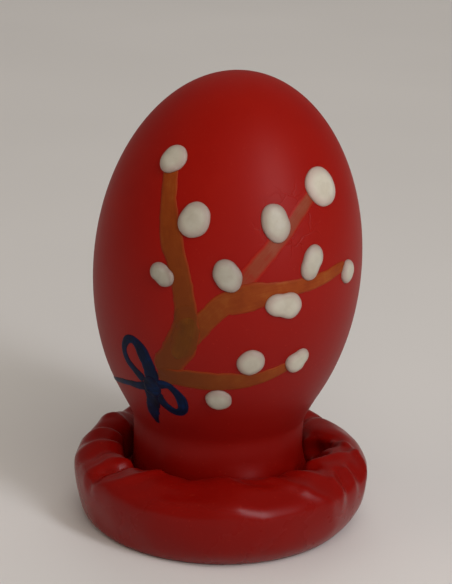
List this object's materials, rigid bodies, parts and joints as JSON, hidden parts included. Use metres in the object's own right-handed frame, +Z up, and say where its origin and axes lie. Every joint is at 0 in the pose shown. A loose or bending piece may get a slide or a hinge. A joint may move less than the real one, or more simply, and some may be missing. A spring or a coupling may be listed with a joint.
{
  "type": "painted egg in a rubber skin",
  "caption": "Goose-size egg in a tight red rubber skin, painted with catkins on brown twigs and a blue bow, standing in a soft wrinkled collar over a card tube.",
  "frame": {"origin": "on the table under the middle of the soft collar", "axes": "+Z up along the neck's axis, -Y towards the painted front, +X to the right seen from the front"},
  "size_m": [0.0652, 0.0652, 0.0994],
  "materials": {
    "red_rubber": "stretched rubber, satin, with a thin translucent sheen at its edges",
    "collar_rubber": "slack rubber in soft glossy folds, brighter where it is thin",
    "egg_shell": "bare eggshell, matte",
    "card": "plain brown card, matte",
    "cream_paint": "thick drops of off-white paint, soft gloss",
    "brown_paint": "brush-marked ochre brown paint",
    "dark_brown_paint": "second coat of darker brown",
    "faded_paint": "thin brown wash that lets the red through",
    "blue_paint": "dark blue paint, soft gloss"
  },
  "bodies": {
    "stand": {"support_tube": "card"},
    "dressed_egg": {"egg_shell": "egg_shell", "rubber_skin": "red_rubber", "rolled_collar": "collar_rubber", "trunk": "brown_paint", "left_twig": "brown_paint", "right_twig": "brown_paint", "faded_twig": "faded_paint", "lower_twig": "brown_paint", "fork_patch": "dark_brown_paint", "bow_knot": "blue_paint", "bow_upper_loop": "blue_paint", "bow_lower_loop": "blue_paint", "bow_side_tail": "blue_paint", "bow_low_tail": "blue_paint", "catkin_01": "cream_paint", "catkin_02": "cream_paint", "catkin_03": "cream_paint", "catkin_04": "cream_paint", "catkin_05": "cream_paint", "catkin_06": "cream_paint", "catkin_07": "cream_paint", "catkin_08": "cream_paint", "catkin_09": "cream_paint", "catkin_10": "cream_paint", "catkin_11": "cream_paint", "catkin_12": "cream_paint"}
  },
  "joints": [
    {"name": "egg_lift", "type": "slide", "parent": "stand", "child": "dressed_egg", "axis": [0, 0, 1], "range_m": [0, 0.04]}
  ]
}
